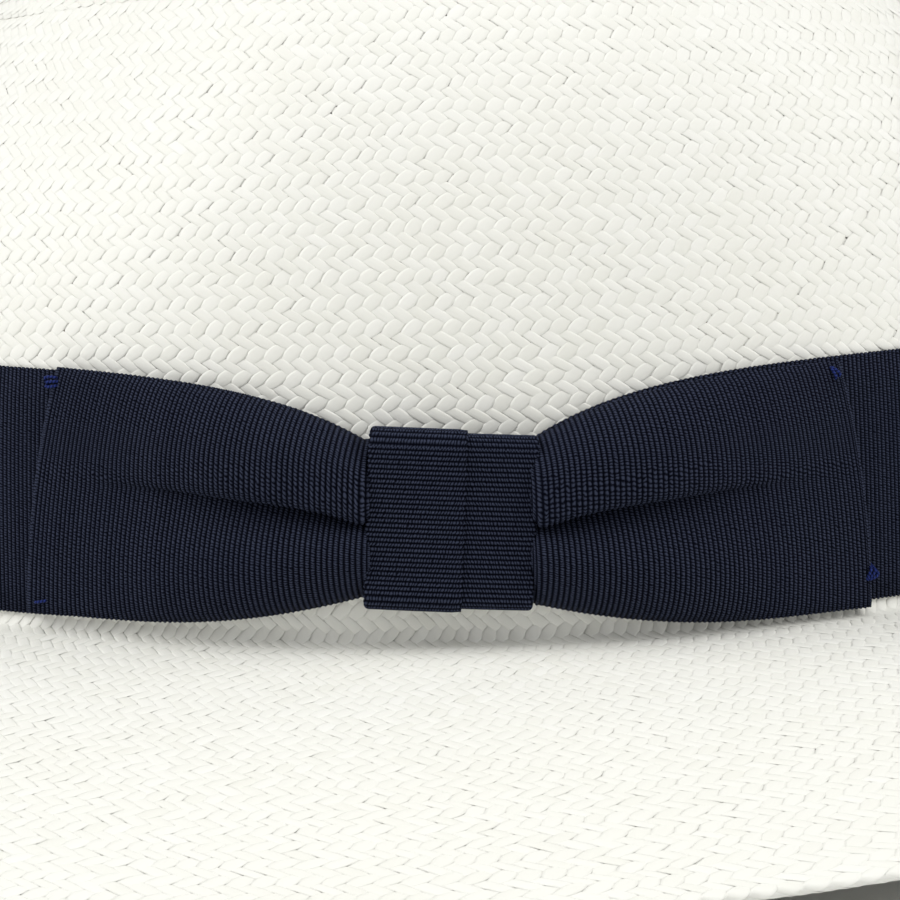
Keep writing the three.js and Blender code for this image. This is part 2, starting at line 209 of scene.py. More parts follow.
class Tubes:
    """Gathers tubes, each a list of rings with the same even number of points, into one mesh."""

    def __init__(self):
        self.points, self.quads, self.share, self.fibre, self.tone, self.normals = ([] for _ in range(6))
        self.size = 0

    def add(self, rings, along, around, closed=False, tone=0.5, normals=None):
        """rings is (count, sides, 3); along and around are fibre coordinates in mm for each ring and side.
        All of a mesh's tubes or none of them bring their own normals."""
        if normals is not None:
            self.normals.append(normals.reshape(-1, 3))
        count, sides = rings.shape[:2]
        spans = count if closed else count - 1
        i, r = np.meshgrid(np.arange(spans), np.arange(sides), indexing="ij")
        corner_i = np.stack([i, i, i + 1, i + 1], -1).reshape(-1, 4)
        corner_r = np.stack([r, r + 1, r + 1, r], -1).reshape(-1, 4)
        if not closed:
            k = np.arange(sides // 2 - 1)
            cap = np.stack([k, k + 1, sides - 2 - k, sides - 1 - k], -1)
            corner_i = np.concatenate([corner_i, 0 * cap, 0 * cap + count - 1])
            corner_r = np.concatenate([corner_r, cap[:, ::-1], cap])
        self.points.append(rings.reshape(-1, 3))
        self.quads.append(self.size + (corner_i % count) * sides + corner_r % sides)
        self.share.append(np.stack([corner_i / max(spans, 1), corner_r / sides], -1))
        along = np.append(along, along[-1] + (along[-1] - along[-2]))
        self.fibre.append(np.stack([along[corner_i], around[corner_r]], -1))
        self.tone.append(np.broadcast_to(np.asarray(tone, float).reshape(-1, 1), (count, sides)).reshape(-1))
        self.size += count * sides

    def build(self, name, material, columns=1):
        points = np.concatenate(self.points)
        quads = np.concatenate(self.quads)
        a, b, c, d = (points[quads[:, k]] for k in range(4))
        volume = np.einsum("ij,ij->i", a, np.cross(b, c) + np.cross(c, d)).sum()
        cells = -(-len(self.share) // columns)
        for index, share in enumerate(self.share):
            share[..., 0] = (index // cells + 0.02 + 0.96 * share[..., 0]) / columns
            share[..., 1] = (index % cells + 0.04 + 0.92 * share[..., 1]) / cells
        share = np.concatenate(self.share)
        fibre = np.concatenate(self.fibre)
        if volume < 0:
            quads, share, fibre = quads[:, ::-1], share[:, ::-1], fibre[:, ::-1]
        mesh = bpy.data.meshes.new(name)
        mesh.vertices.add(len(points))
        mesh.vertices.foreach_set("co", (points * MM).astype(np.float32).ravel())
        mesh.loops.add(quads.size)
        mesh.loops.foreach_set("vertex_index", np.ascontiguousarray(quads, np.int32).ravel())
        mesh.polygons.add(len(quads))
        mesh.polygons.foreach_set("loop_start", np.arange(0, quads.size, 4, dtype=np.int32))
        mesh.polygons.foreach_set("use_smooth", np.ones(len(quads), bool))
        mesh.update(calc_edges=True)
        for layer, values in (("Fibre", fibre), ("OFBake", share)):
            uv = mesh.uv_layers.new(name=layer)
            uv.data.foreach_set("uv", values.astype(np.float32).ravel())
        tone = mesh.attributes.new("tone", "FLOAT", "POINT")
        tone.data.foreach_set("value", np.concatenate(self.tone).astype(np.float32))
        if self.normals:
            mesh.normals_split_custom_set_from_vertices(np.concatenate(self.normals))
        mesh.materials.append(material)
        return add_object(name, mesh)


def install(piece, node):
    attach(piece, "root")
    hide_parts(node)


# ---- Materials ----

class Shader:
    """A node material with short calls for the nodes this scene uses."""

    def __init__(self, name):
        self.material = bpy.data.materials.new(name)
        self.material.use_nodes = True
        self.tree = self.material.node_tree
        self.surface = self.tree.nodes["Principled BSDF"]

    def node(self, kind, inputs=None, **settings):
        made = self.tree.nodes.new(kind)
        for key, value in settings.items():
            setattr(made, key, value)
        for key, value in (inputs or {}).items():
            self.feed(made.inputs[key], value)
        return made

    def feed(self, socket, value):
        if isinstance(value, bpy.types.NodeSocket):
            self.tree.links.new(value, socket)
        else:
            socket.default_value = value

    def math(self, operation, *values, clamp=False):
        return self.node("ShaderNodeMath", dict(enumerate(values)), operation=operation, use_clamp=clamp).outputs[0]

    def uv(self, scale):
        coordinates = self.node("ShaderNodeUVMap", uv_map="Fibre").outputs[0]
        return self.node("ShaderNodeMapping", {"Vector": coordinates, "Scale": scale}).outputs[0]

    def split_uv(self, scale=(1, 1, 1)):
        """The distances along and across the fibres, in mm times scale."""
        return self.node("ShaderNodeSeparateXYZ", {"Vector": self.uv(scale)}).outputs[:2]

    def place(self):
        return self.node("ShaderNodeTexCoord").outputs["Object"]

    def noise(self, vector, scale, detail=2.0, roughness=0.5):
        inputs = {"Vector": vector, "Scale": scale, "Detail": detail, "Roughness": roughness}
        return self.node("ShaderNodeTexNoise", inputs).outputs[0]

    def wave(self, phase):
        """Rises and falls between 0 and 1 once for each whole number that phase passes."""
        return self.math("MULTIPLY_ADD", self.math("COSINE", self.math("MULTIPLY", phase, TURN)), 0.5, 0.5)

    def attribute(self, name):
        return self.node("ShaderNodeAttribute", attribute_name=name).outputs["Fac"]

    def mix(self, share, first, second):
        return self.node("ShaderNodeMix", {0: share, 6: first, 7: second}, data_type="RGBA").outputs[2]

    def span(self, value, low, high):
        """value from 0 to 1, spread from low to high."""
        return self.node("ShaderNodeMapRange", {"Value": value, "To Min": low, "To Max": high}).outputs[0]

    def finish(self, colour, roughness, height=None, depth_mm=0.05, **principled):
        self.feed(self.surface.inputs["Base Color"], colour)
        self.feed(self.surface.inputs["Roughness"], roughness)
        if height is not None:
            bump = self.node("ShaderNodeBump", {"Height": height, "Distance": depth_mm * MM, "Strength": 1.0})
            self.feed(self.surface.inputs["Normal"], bump.outputs[0])
        for key, value in principled.items():
            self.feed(self.surface.inputs[key.replace("_", " ")], value)
        return self.material


def colour(red, green, blue):
    return (red, green, blue, 1.0)


def straw_material():
    """Bleached toquilla straw: off-white, silky along its fibres, each straw a little different."""
    s = Shader("straw")
    streak = s.noise(s.uv((0.25, 9, 1)), 1.0, 3.0, 0.6)
    fine = s.noise(s.uv((0.7, 30, 1)), 1.0, 2.0)
    stain = s.noise(s.place(), 45.0, 3.0)
    pale = s.mix(s.attribute("tone"), colour(0.905, 0.905, 0.845), colour(0.955, 0.955, 0.910))
    warm = s.mix(s.span(stain, -0.2, 0.35), pale, colour(0.90, 0.885, 0.80))
    shade = s.mix(s.span(streak, 0.0, 0.16), warm, colour(0.82, 0.815, 0.72))
    height = s.math("ADD", s.math("MULTIPLY", streak, 0.6), s.math("MULTIPLY", fine, 0.4))
    return s.finish(shade, s.span(streak, 0.36, 0.56), height, 0.03, Specular_IOR_Level=0.35)


RIB_PITCH = 0.75
RIB_STEPS = 4


def ribbon_material(name):
    """Navy grosgrain: thick weft ribs across the ribbon, wrapped by fine warp threads. Its colour has painted
    highlight on the rib crests and painted shade in the gaps between the ribs.
    """
    s = Shader(name)
    along, across = s.split_uv()
    waver = s.math("MULTIPLY", s.math("SUBTRACT", s.noise(s.uv((0.4, 1.1, 1)), 1.0), 0.5), 0.12)
    phase = s.math("ADD", s.math("DIVIDE", along, RIB_PITCH), waver)
    crest = s.wave(phase)
    warp_waver = s.math("MULTIPLY", s.noise(s.uv((1.2, 1.2, 1)), 1.0), 1.6)
    warp_phase = s.math("ADD", s.math("MULTIPLY_ADD", across, 2.6, warp_waver), s.math("MULTIPLY", phase, 0.5))
    warp = s.wave(warp_phase)
    fuzz = s.noise(s.uv((3.2, 2.6, 1)), 1.0, 4.0, 0.7)
    worn = s.noise(s.place(), 60.0, 3.0)
    grain = s.math("MULTIPLY_ADD", warp, 0.75, s.math("MULTIPLY", fuzz, 0.7))
    # Painted highlight on each rib's crest and painted shade in the gaps between ribs, broken up by the warp threads'
    # grain.
    painted_rib_highlight = s.math("MULTIPLY", crest, s.span(grain, -0.60, 1.28), clamp=True)
    thread = s.mix(painted_rib_highlight, colour(0.0003, 0.0005, 0.0022), colour(0.0470, 0.0560, 0.0930))
    shade = s.mix(s.span(worn, 0.0, 0.30), thread, colour(0.0045, 0.0065, 0.0190))
    height = s.math("ADD", s.math("MULTIPLY", warp, 0.35), s.math("MULTIPLY", fuzz, 0.65))
    return s.finish(shade, s.span(fuzz, 0.55, 0.85), height, 0.06, Specular_IOR_Level=0.02)


def thread_material(name, dark, light, twist_pitch):
    """Twisted sewing thread, its colour lighter on the plies' crests as painted highlight and darker in the twist's
    grooves as painted shade.
    """
    s = Shader(name)
    along, across = s.split_uv()
    phase = s.math("ADD", s.math("DIVIDE", along, twist_pitch), across)
    strand = s.wave(phase)
    hair = s.noise(s.uv((14, 6, 1)), 1.0, 2.0)
    # Painted highlight on the plies' crests and painted shade in the grooves of the twist.
    shade = s.mix(s.math("MULTIPLY", strand, s.span(hair, 0.6, 1.2), clamp=True), dark, light)
    return s.finish(shade, s.span(hair, 0.5, 0.75), strand, 0.05, Specular_IOR_Level=0.1)


def leather_material():
    """Thin cream sweatband leather with fine pores; its colour is darkened along the creases between the pebbles as
    painted shade.
    """
    s = Shader("sweatband_leather")
    cells = s.node("ShaderNodeTexVoronoi", {"Vector": s.place(), "Scale": 1500.0}, feature="DISTANCE_TO_EDGE")
    pebble = s.math("MULTIPLY", cells.outputs["Distance"], 2.5, clamp=True)
    cloud = s.noise(s.place(), 30.0, 4.0)
    base = s.mix(s.span(cloud, 0.1, 0.9), colour(0.68, 0.58, 0.43), colour(0.80, 0.72, 0.58))
    # Painted shade: darker along the creases between the pebbles, where the bump is low.
    shade = s.mix(s.span(pebble, 0.25, 0.0), base, colour(0.42, 0.33, 0.22))
    return s.finish(shade, s.span(cloud, 0.42, 0.60), pebble, 0.06, Specular_IOR_Level=0.4)


def tape_material():
    """White cotton tape in plain weave, its colour darkened where the weave sinks as painted shade."""
    s = Shader("sweatband_tape")
    along, across = s.split_uv((2.4 * TURN, 2.4 * TURN, 1))
    weave = s.math("MULTIPLY", s.math("SINE", along), s.math("SINE", across))
    lift = s.span(weave, 0.5, 1.0)
    hair = s.noise(s.uv((8, 8, 1)), 1.0, 2.0)
    # Painted shade: darker where the weave sinks between the crossings.
    shade = s.mix(s.math("MULTIPLY", lift, hair), colour(0.55, 0.53, 0.48), colour(0.88, 0.86, 0.81))
    return s.finish(shade, 0.85, lift, 0.05)


def reed_material():
    """Clear-white plastic reed with fine drawn lines."""
    s = Shader("reed")
    drawn = s.noise(s.uv((0.1, 12, 1)), 1.0, 2.0)
    shade = s.mix(drawn, colour(0.72, 0.75, 0.76), colour(0.86, 0.88, 0.88))
    return s.finish(shade, s.span(drawn, 0.25, 0.40), drawn, 0.01, Subsurface_Weight=0.2)


def floor_material():
    """A pale matt studio surface."""
    s = Shader("floor")
    grain = s.noise(s.place(), 400.0, 2.0)
    cloud = s.noise(s.place(), 3.0, 2.0)
    shade = s.mix(cloud, colour(0.80, 0.80, 0.79), colour(0.84, 0.84, 0.83))
    return s.finish(shade, s.span(grain, 0.6, 0.8), grain, 0.05)


# ---- The woven straw ----

STRAW_WIDTH = 1.376
STRAW_HALF_THICKNESS = 0.050
WEAVE_HALF_DEPTH = 0.060
FLOAT_SPREAD = 0.11
WALL_STRAWS = 235
ADDED_STRAWS = 1.28
BRIM_STRAWS = 306
WEAVE_SKEW = 0.236
SKEW_ROWS = 1.7
ROW_SWELL = 0.07
FLOAT_ROWS = 4
FLOAT_SQUARENESS = 2.2
ZONE_LAP = 0.008
ZONE_DIP = 0.12
FINE_STEPS = 3
FINE_HALF_LENGTH = 64.0
FINE_BRIM = 10.0
FINE_FOOT = 25.0
FINE_TOP = 92.0

COARSE_SECTION = np.array([(-0.485, 0.45), (0.485, 0.45), (0.40, -0.9), (-0.40, -0.9)])
FINE_SECTION = np.array([(-0.49, -0.25), (-0.33, 0.75), (0.33, 0.75), (0.49, -0.25), (0.25, -1.0), (-0.25, -1.0)])

COARSE_FACING = np.array([(-0.35, 1.0), (0.35, 1.0), (0.2, -1.0), (-0.2, -1.0)])
FINE_FACING = np.array([(-0.75, 0.8), (-0.12, 1.0), (0.12, 1.0), (0.75, 0.8), (0.2, -1.0), (-0.2, -1.0)])

oval = np.linspace(0, TURN, 1441)
oval_steps = np.hypot(HEAD_HALF_WIDTH * np.sin(oval), HEAD_HALF_LENGTH * np.cos(oval))
oval_reach = running((oval_steps[1:] + oval_steps[:-1]) / 2)
oval_reach /= oval_reach[-1]


def even_turn(share):
    """The turn at an even share of the way round the head's oval."""
    whole = np.floor(share)
    return TURN * whole + np.interp(share - whole, oval_reach, oval)


def ring_lengths(stations):
    """The length round the straw at each station, and the mean distance down the straw to it."""
    turns = even_turn(np.arange(144) / 144)
    points = straw(turns[None, :], stations[:, None])
    around = np.linalg.norm(np.roll(points, -1, 1) - points, axis=-1).sum(1)
    down = np.linalg.norm(np.diff(points, axis=0), axis=-1).mean(1)
    return around, running(down)


def row_count(around, down, count):
    """How many rows of crossings there are down to each station, when count straws run each way."""
    half_pitch = np.maximum(around / (2 * count), 0.75 * STRAW_WIDTH)
    row = STRAW_WIDTH * half_pitch / np.sqrt(4 * half_pitch ** 2 - STRAW_WIDTH ** 2)
    rate = 1 / row
    return running(np.diff(down) * (rate[1:] + rate[:-1]) / 2)


def waver(rng, count, scale):
    """A smooth random field over the weave, in crossings, that closes on itself round the hat."""
    waves = []
    for _ in range(14):
        round_hat = rng.integers(4, 34) * rng.choice([-1, 1])
        waves.append((round_hat, rng.uniform(-0.5, 0.5), rng.uniform(0, TURN), rng.normal(0, scale)))

    def field(across, row):
        return sum(size * np.sin(TURN * turns * across / count + rate * row + phase)
                   for turns, rate, phase, size in waves)
    return field


def float_height(tau):
    """How far a straw stands up (1) or down (-1): over two crossings, then under two."""
    wave = np.cos(np.pi * (tau - 0.5) / 2)
    return np.tanh(FLOAT_SQUARENESS * wave) / np.tanh(FLOAT_SQUARENESS)


def lean(row):
    """How far the weave has shifted sideways down to a row. All of the shift happens where the straws that
    run the second way lie on top, so those stand steeper than the others."""
    cycle = (row - 2.5) / FLOAT_ROWS
    whole = np.floor(cycle + 0.5)
    return WEAVE_SKEW * (whole + smooth((cycle - whole) * FLOAT_ROWS / SKEW_ROWS + 0.5))


def is_fine(points):
    """Where straws get their full detail: the side of the hat round the bow."""
    near = (points[..., 0] > 0) & (np.abs(points[..., 1]) < FINE_HALF_LENGTH)
    height = points[..., 2]
    return near & ((height < FINE_BRIM) | (height > FINE_FOOT)) & (height < FINE_TOP)


def straw_normals(rings, normal, facing):
    """Shading normals for straws: each side of the section faces as its row of facing says."""
    along_straw = unit(np.gradient(rings.mean(1), axis=0))
    upward = unit(normal - np.sum(normal * along_straw, -1, keepdims=True) * along_straw)
    sideways = np.cross(along_straw, upward)
    sideways = sideways * np.sign(np.sum(sideways * (rings[:, 2] - rings[:, 0]), -1, keepdims=True))
    return unit(upward[:, None] * facing[None, :, 1:] + sideways[:, None] * facing[None, :, :1])


class Weave:
    """One ring of the hat, woven with the same number of straws each way."""

    def __init__(self, count, first, last, seed):
        self.count = count
        self.rng = np.random.default_rng(seed)
        above_bend = CROWN_END - np.geomspace(1e-5, 0.1, 120)
        above_bend = above_bend[(above_bend > first) & (above_bend < last)]
        stations = np.unique(np.concatenate([np.linspace(first, last, 600), above_bend]))
        around, down = ring_lengths(stations)
        rows = row_count(around, down, count)
        self.rows = int(round(rows[-1]))
        self.stations = stations
        self.row_at = rows * self.rows / rows[-1]
        self.drift_across = waver(self.rng, count, 0.045)
        self.drift_down = waver(self.rng, count, 0.05)

    def place(self, across, row):
        """Turn and station of a place in the weave, by its crossing round the hat and its row down it."""
        shifted = across + lean(row) + self.drift_across(across, row)
        swell = ROW_SWELL * np.sin(np.pi * (row - 0.5) / 2)
        lower = np.clip(row - swell + self.drift_down(across, row), 0, self.rows)
        return even_turn(shifted / self.count), np.interp(lower, self.row_at, self.stations)

    def runs(self, way, strand):
        """Splits a straw where it lies under a crossing, into runs that are all fine or all coarse."""
        under = 2.5 if way > 0 else 0.5
        cuts = np.arange(under - FLOAT_ROWS, self.rows + FLOAT_ROWS, FLOAT_ROWS)
        middles = np.clip(cuts[:-1] + FLOAT_ROWS / 2, 0, self.rows)
        turn, station = self.place(strand + way * middles / 2, middles)
        fine = is_fine(straw(turn, station))
        starts = np.concatenate([[0], np.flatnonzero(np.diff(fine)) + 1, [len(fine)]])
        for begin, end in zip(starts[:-1], starts[1:]):
            low, high = max(cuts[begin], 0), min(cuts[end], self.rows)
            if high - low > 0.6:
                yield fine[begin], low, high

    def lay(self, pieces_of, dip_first):
        """Lays every straw. pieces_of(way, strand, fine) names the Tubes that it goes into; dip_first sinks
        the ring's first rows under the ring above."""
        jobs = {}
        for way in (1, -1):
            for strand in range(self.count):
                for fine, low, high in self.runs(way, strand):
                    if fine:
                        tau = np.linspace(low, high, int(round((high - low) * FINE_STEPS)) + 1)
                    else:
                        tau = np.concatenate([[low], np.arange(np.floor(low) + 1, np.ceil(high)), [high]])
                    jobs.setdefault((way, bool(fine)), []).append((strand, tau))
        for (way, fine), tubes in jobs.items():
            self.make(way, fine, tubes, pieces_of, dip_first)

    def make(self, way, fine, tubes, pieces_of, dip_first):
        section = FINE_SECTION if fine else COARSE_SECTION
        rng = self.rng
        widths = 1 + rng.normal(0, 0.045, self.count)
        shifts = rng.normal(0, 0.03, self.count)
        tones = rng.normal(0.5, 0.17, self.count)
        sways = rng.uniform(0, TURN, (self.count, 3))
        strand = np.concatenate([np.full(len(tau), n) for n, tau in tubes])
        tau = np.concatenate([tau for _, tau in tubes])
        sway = np.sin(0.9 * tau + sways[strand, 0]) + np.sin(0.37 * tau + sways[strand, 1])
        spread = FLOAT_SPREAD * way * float_height(tau)
        side = section[None, :, 0] * (widths[strand] + 0.02 * sway + spread)[:, None]
        side = side + (shifts[strand] + 0.012 * np.sin(0.53 * tau + sways[strand, 2]))[:, None]
        across = strand[:, None] + (way * tau[:, None] + side) / 2
        row = tau[:, None] - way * side
        turn, station = self.place(across, row)
        points = straw(turn, station)
        middle_turn, middle_station = self.place(strand + way * tau / 2, tau)
        normal = normal_of(straw, middle_turn, middle_station, 1e-3, 2e-3)
        floats = np.floor((tau - (2.5 if way > 0 else 0.5)) / FLOAT_ROWS).astype(int) + 2
        lift_by_float = rng.normal(0, 0.013, (self.count, self.rows // FLOAT_ROWS + 6))
        height = way * WEAVE_HALF_DEPTH * float_height(tau) + lift_by_float[strand, floats]
        height = height - dip_first * np.clip(1.5 - tau, 0, 1.5)
        lift = height[:, None] + STRAW_HALF_THICKNESS * section[None, :, 1]
        rings = points + normal[:, None, :] * lift[..., None]
        normals = straw_normals(rings, normal, FINE_FACING if fine else COARSE_FACING)
        tone_by_float = rng.normal(0, 0.10, lift_by_float.shape)
        tone = tones[strand] + tone_by_float[strand, floats]
        around = np.linspace(0, 1, len(section) + 1)
        at = 0
        for n, part in tubes:
            here = slice(at, at + len(part))
            at += len(part)
            holder = pieces_of(way, n, fine)
            along = 1.5 * part + 37.0 * n
            fibre = around + 3.0 * n + (0.5 if way < 0 else 0)
            holder.add(rings[here], along, fibre, tone=tone[here], normals=normals[here])


def crown_zones():
    """Stations where straws are added on the way down the crown, with the straws each way below each."""
    stations = np.linspace(BRIM_WEAVE_START, 0.002, 2400)
    around, _ = ring_lengths(stations)
    zones = []
    count, low = WALL_STRAWS, BRIM_WEAVE_START
    while count > 16:
        least = 2 * count * 0.70 * STRAW_WIDTH
        index = int(np.argmax(around < least))
        zones.append((count, stations[index], low))
        low = stations[index]
        count = int(round(count / ADDED_STRAWS))
    return zones, low


def build_straw(material):
    zones, centre = crown_zones()

    def keep(name, tubes, columns):
        install(tubes.build(name, material, columns), "straw_body")

    def ring(name, count, first, last, seed, dip_first=0.0):
        """A ring with its fine straws in one mesh for each way, and the rest in quarters."""
        coarse = [Tubes() for _ in range(4)]
        fine = [Tubes() for _ in range(2)]
        Weave(count, first, last, seed).lay(
            lambda way, n, is_fine_run: fine[way < 0] if is_fine_run else coarse[int(4 * n / count) % 4], dip_first)
        for quarter, tubes in zip(("left", "rear", "right", "front"), coarse):
            keep(f"straw_{name}_{quarter}", tubes, 2)
        for layer, tubes in zip(("rising", "falling"), fine):
            keep(f"straw_{name}_bow_side_{layer}", tubes, 2)

    count, first, last = zones[0]
    ring("crown", count, first, last, 11, ZONE_DIP)
    tip = Tubes()
    for level, (count, first, last) in enumerate(zones[1:]):
        Weave(count, first, last + ZONE_LAP, 20 + level).lay(lambda way, n, is_fine_run: tip, ZONE_DIP)
    keep("straw_crown_tip", tip, 3)
    ring("brim", BRIM_STRAWS, BRIM_WEAVE_START, HEM_END, 12)
    build_centre(material, centre)


def build_centre(material, station):
    """The small square start of the weave, at the bottom of the crease, over two and under two."""
    half = 6
    section = COARSE_SECTION
    tubes = Tubes()
    rng = np.random.default_rng(31)
    reach = float(HEAD_HALF_WIDTH * np.sin(station * fall_at(BEND_TOP))) + 3.0
    pitch = reach / (half + 1)
    steps = np.arange(-half - 1, half + 1.5, 0.5)
    for way in (1, -1):
        for line in range(-half, half + 1):
            side = section[None, :, 0] * STRAW_WIDTH * (1 + 0.04 * rng.normal())
            first, second = steps[:, None] * pitch + 0 * side, line * pitch + side
            x, y = (first, second) if way > 0 else (-second, first)
            radius = np.hypot(x / HEAD_HALF_WIDTH, y / HEAD_HALF_LENGTH)
            fall = np.arcsin(np.clip(radius / (1 - CROWN_TAPER), 0, 1))
            points = crown(np.arctan2(y / HEAD_HALF_LENGTH, x / HEAD_HALF_WIDTH), fall)
            phase = steps + way * line + 1 - way
            height = WEAVE_HALF_DEPTH * float_height(phase) + 0.25
            points[..., 2] += height[:, None] + STRAW_HALF_THICKNESS * section[None, :, 1]
            normals = straw_normals(points, np.array([0.0, 0.0, 1.0]) + 0 * points[:, 0], COARSE_FACING)
            along, around = 1.4 * steps + 9.0 * line, np.linspace(0, 1, 5) + 3.0 * line
            tubes.add(points, along, around, tone=rng.normal(0.5, 0.15), normals=normals)
    install(tubes.build("straw_crown_centre", material), "straw_body")


# ---- Ribbon: the hat band, the bow and the knot ----

RIBBON_HALF_THICKNESS = 0.21
RIB_HEIGHT = 0.1
SELVEDGE_SCALLOP = 0.07
STRAW_FACE = 0.34
PINCH_TOP_DROP = 9.4
PINCH_TOP_REACH = 16.0
PINCH_FOOT_RISE = 5.0
PINCH_FOOT_REACH = 18.0
REAR_FOOT_RISE = 3.4
REAR_FOOT_REACH = 14.0
GATHER_MARGIN = 1.0
BAND_RIBS = 800


def gathered(y, reach):
    """1 under the knot, falling off with distance from it."""
    return np.exp(-np.maximum(np.abs(y) - KNOT_HALF_WIDTH - GATHER_MARGIN, 0) / reach)


def ribbon_top(y):
    return BAND_FOOT + RIBBON_WIDTH - PINCH_TOP_DROP * gathered(y, PINCH_TOP_REACH)


def ribbon_foot(y):
    front = PINCH_FOOT_RISE * gathered(y, PINCH_FOOT_REACH)
    under_knot = 1 - smooth((y - KNOT_HALF_WIDTH + 0.8) / 1.3)
    rear = REAR_FOOT_RISE * gathered(y, REAR_FOOT_REACH) + (PINCH_FOOT_RISE - REAR_FOOT_RISE) * under_knot
    return BAND_FOOT + np.where(y < 0, front, rear)


def ribbed_strip(name, material, middle, along, across, closed, rib_share=1.0):
    """A ribbon as a closed sheet. middle is (count, levels, 3); along is each ring's distance along the ribbon
    in mm, across each level's distance from its foot; rib_share scales the ribs, 0 where they are pulled flat."""
    rng = np.random.default_rng(len(along))
    if closed:
        forward = np.roll(middle, -1, 0) - np.roll(middle, 1, 0)
    else:
        forward = np.gradient(middle, axis=0)
    outward = unit(np.cross(forward, np.gradient(middle, axis=1)))
    phase = along / RIB_PITCH
    rib_number = np.round(phase).astype(int)
    rib_number -= rib_number.min()
    uneven = rng.normal(0, 0.16, rib_number.max() + 1)[rib_number]
    rib = np.cos(TURN * phase) * (1 + uneven)
    half = RIBBON_HALF_THICKNESS + RIB_HEIGHT * rib[:, None] * np.broadcast_to(rib_share, middle.shape[:2])
    half = half * np.minimum(1, 0.55 + np.minimum(across, across[-1] - across) / 0.5)[None, :]
    edge = np.zeros(len(across))
    edge[0], edge[-1] = -1, 1
    upward = unit(np.gradient(middle, axis=1))
    middle = middle + upward * (edge[None, :] * SELVEDGE_SCALLOP * rib[:, None])[..., None]
    rise = outward * half[..., None]
    rings = np.concatenate([middle + rise, (middle - rise)[:, ::-1]], 1)
    tubes = Tubes()
    tubes.add(rings, along, np.concatenate([across, across[::-1], across[:1]]), closed=closed)
    return tubes.build(name, material)


def band_middle(turn, share):
    """The hat band's middle layer: share 0 at its foot, 1 at its top."""
    y = HEAD_HALF_LENGTH * np.sin(turn)
    bow_side = smooth((np.cos(turn) - 0.2) / 0.2)
    top = BAND_FOOT + RIBBON_WIDTH + bow_side * (ribbon_top(y) - BAND_FOOT - RIBBON_WIDTH)
    foot = BAND_FOOT + bow_side * (ribbon_foot(y) - BAND_FOOT)
    waver_out = 0.06 * np.sin(9 * turn + 1) + 0.05 * np.sin(23 * turn)
    distance = STRAW_FACE + RIBBON_HALF_THICKNESS + 0.08 + 0.4 * waver_out ** 2
    return wall_offset(turn, foot + (top - foot) * share, distance + 0 * share)


def build_band(material):
    levels = np.linspace(0, 1, 9)
    steps = np.arange(BAND_RIBS * RIB_STEPS)
    middle = band_middle(even_turn(steps / len(steps))[:, None], levels[None, :])
    along = steps * RIB_PITCH / RIB_STEPS
    piece = ribbed_strip("hat_band_ribbon", material, middle, along, levels * RIBBON_WIDTH, True)
    install(piece, "hat_band")


BOW_SEAT = STRAW_FACE + 2 * RIBBON_HALF_THICKNESS + 0.45
BOW_FOLD_RADIUS = 0.5
FOLD_PHASE = 0.18
BOW_PUFF = 1.6
LOBE_RISE = 5.4
PLEAT_DEPTH = 6.0
PLEAT_HANG = 4.6
FRONT_HALF_LENGTH = 54.6
REAR_HALF_LENGTH = 54.1
FRONT_LEAN = 5.5
REAR_LEAN = 4.6
END_BULGE = 1.1


def bow_out(y):
    """How far out along its loop a place on the bow is: 0 at the knot, 1 at the end."""
    return np.clip((np.abs(y) - KNOT_HALF_WIDTH) / (BOW_HALF_LENGTH - KNOT_HALF_WIDTH), 0, 1)


def bow_half_length(side, share):
    """From the knot's middle to the bow's end: side is -1 at the front, +1 at the rear; the ends lean out
    towards the foot, and bulge at half height."""
    slope = np.where(side < 0, FRONT_LEAN, REAR_LEAN)
    bulge = END_BULGE * 4 * share * (1 - share)
    return np.where(side < 0, FRONT_HALF_LENGTH, REAR_HALF_LENGTH) + slope * (0.55 - share) + bulge


def bow_height(y, share):
    """The bow's height above the head line, share 0 at its foot and 1 at its top."""
    out = bow_out(y)
    tilt = np.where(y < 0, 0.45, -0.75) * out
    sag = 0.55 * np.sin(np.pi * out) ** 2 * (1 - share)
    return ribbon_foot(y) + (ribbon_top(y) - ribbon_foot(y)) * share + tilt - sag


def bow_gather(y):
    """How far out a place is, how strongly it is gathered there, and the crease's share of the height."""
    out = bow_out(y)
    free = smooth((np.abs(y) - KNOT_HALF_WIDTH + 2.5) / 3.5)
    near = np.exp(-1.1 * out) * free * smooth((1.0 - out) / 0.7)
    crease = np.where(y < 0, 0.65 - 0.146 * out, 0.635 - 0.136 * out)
    return out, near, crease


def bow_hang(y, share):
    """How far the upper lobe hangs down in front of the crease."""
    out, near, crease = bow_gather(y)
    return PLEAT_HANG * near * np.exp(-((share - crease - 0.065) / 0.055) ** 2)


def bow_front(y, share):
    """How far the front layer of the bow stands off the band."""
    out, near, crease = bow_gather(y)
    belly = (4 * share * (1 - share)) ** 0.5
    puff = BOW_PUFF * np.sin(np.pi * out ** 0.8) ** 1.5 * belly
    lobes = LOBE_RISE * near * (1 - (2 * share - 1) ** 4)
    off = (share - crease) / (0.10 + 0.05 * out)
    pleat = PLEAT_DEPTH * near * np.exp(-np.where(off > 0, 5.0, 0.28) * off ** 2)
    return 2 * BOW_FOLD_RADIUS + puff + lobes - pleat


